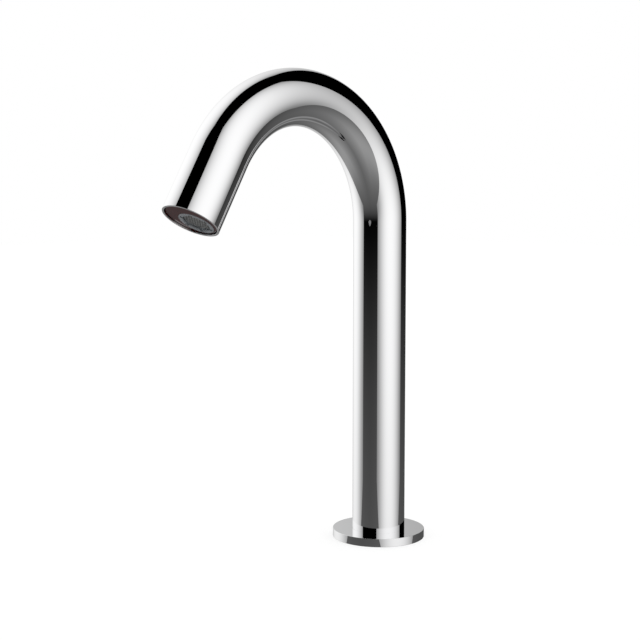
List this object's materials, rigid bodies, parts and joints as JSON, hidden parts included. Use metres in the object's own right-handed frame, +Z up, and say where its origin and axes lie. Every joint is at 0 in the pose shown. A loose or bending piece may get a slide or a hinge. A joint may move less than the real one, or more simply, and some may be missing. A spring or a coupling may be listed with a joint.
{
  "type": "sensor tap",
  "caption": "Tall deck-mounted sensor tap: a round tube bent into a high arch, a flat round flange, and an aerator set in a dark sensor window at the outlet.",
  "frame": {"origin": "centre of the flange's underside, on the column's axis, at the mouth of the fixing stud's hole; the deck is the plane z = 0", "axes": "+Z up along the column, -Y the way the spout points, X across the tap's plane of symmetry"},
  "size_m": [0.056, 0.1916, 0.279],
  "materials": {
    "chrome_plate": "bright mirror chrome plate",
    "brass": "machined brass",
    "stainless": "plain stainless steel",
    "black_rubber": "black rubber",
    "sensor_glass": "dark red-brown infrared window, glossy",
    "carrier_plastic": "moulded black plastic",
    "aerator_plastic": "moulded blue-grey plastic",
    "grid_plastic": "moulded grey plastic",
    "insert_plastic": "moulded white plastic",
    "hose_sleeve": "braided hose under a clear sleeve",
    "lead_jacket": "black cable jacket",
    "board": "circuit board with solder mask",
    "resin": "black potting resin",
    "clear_lens": "clear epoxy diode",
    "dark_lens": "dark epoxy diode",
    "gilt_contact": "gilded contact",
    "foam": "black foam"
  },
  "bodies": {
    "tap": {"spout_tube": "chrome_plate", "base_flange": "chrome_plate", "base_gasket": "black_rubber", "base_plug": "brass", "plug_ring": "black_rubber", "lead_socket": "carrier_plastic", "socket_contacts": "gilt_contact", "lead_grommet": "black_rubber", "inlet_nipple": "brass", "inlet_washer": "black_rubber", "lower_ferrule": "stainless", "water_hose": "hose_sleeve", "upper_ferrule": "stainless", "outlet_washer": "black_rubber", "outlet_nipple": "brass", "sensor_lead": "lead_jacket", "hose_spacers": "foam", "tip_carrier": "carrier_plastic", "carrier_ring": "black_rubber", "fixing_screw": "stainless", "sensor_window": "sensor_glass", "window_gasket": "foam", "sensor_housing": "carrier_plastic", "sensor_board": "board", "sensor_potting": "resin", "ir_emitter": "clear_lens", "ir_receiver": "dark_lens"},
    "seal": {"aerator_seal": "black_rubber"},
    "aerator": {"aerator_housing": "aerator_plastic", "aerator_grid": "grid_plastic", "jet_former": "insert_plastic", "flow_regulator": "insert_plastic", "regulator_ring": "black_rubber", "aerator_strainer": "stainless"}
  },
  "joints": [
    {"name": "aerator_travel", "type": "slide", "parent": "tap", "child": "seal", "axis": [0, -0.515, -0.8572], "range_m": [0, 0.0081]},
    {"name": "aerator_turn", "type": "hinge", "parent": "seal", "child": "aerator", "pos_m": [0, -0.14666, 0.19356], "axis": [0, -0.515, -0.8572], "range_deg": [0, 2880]}
  ],
  "couplings": [
    {"joint": "aerator_travel", "follows": "aerator_turn", "m_per_rad": 0.00015915}
  ]
}
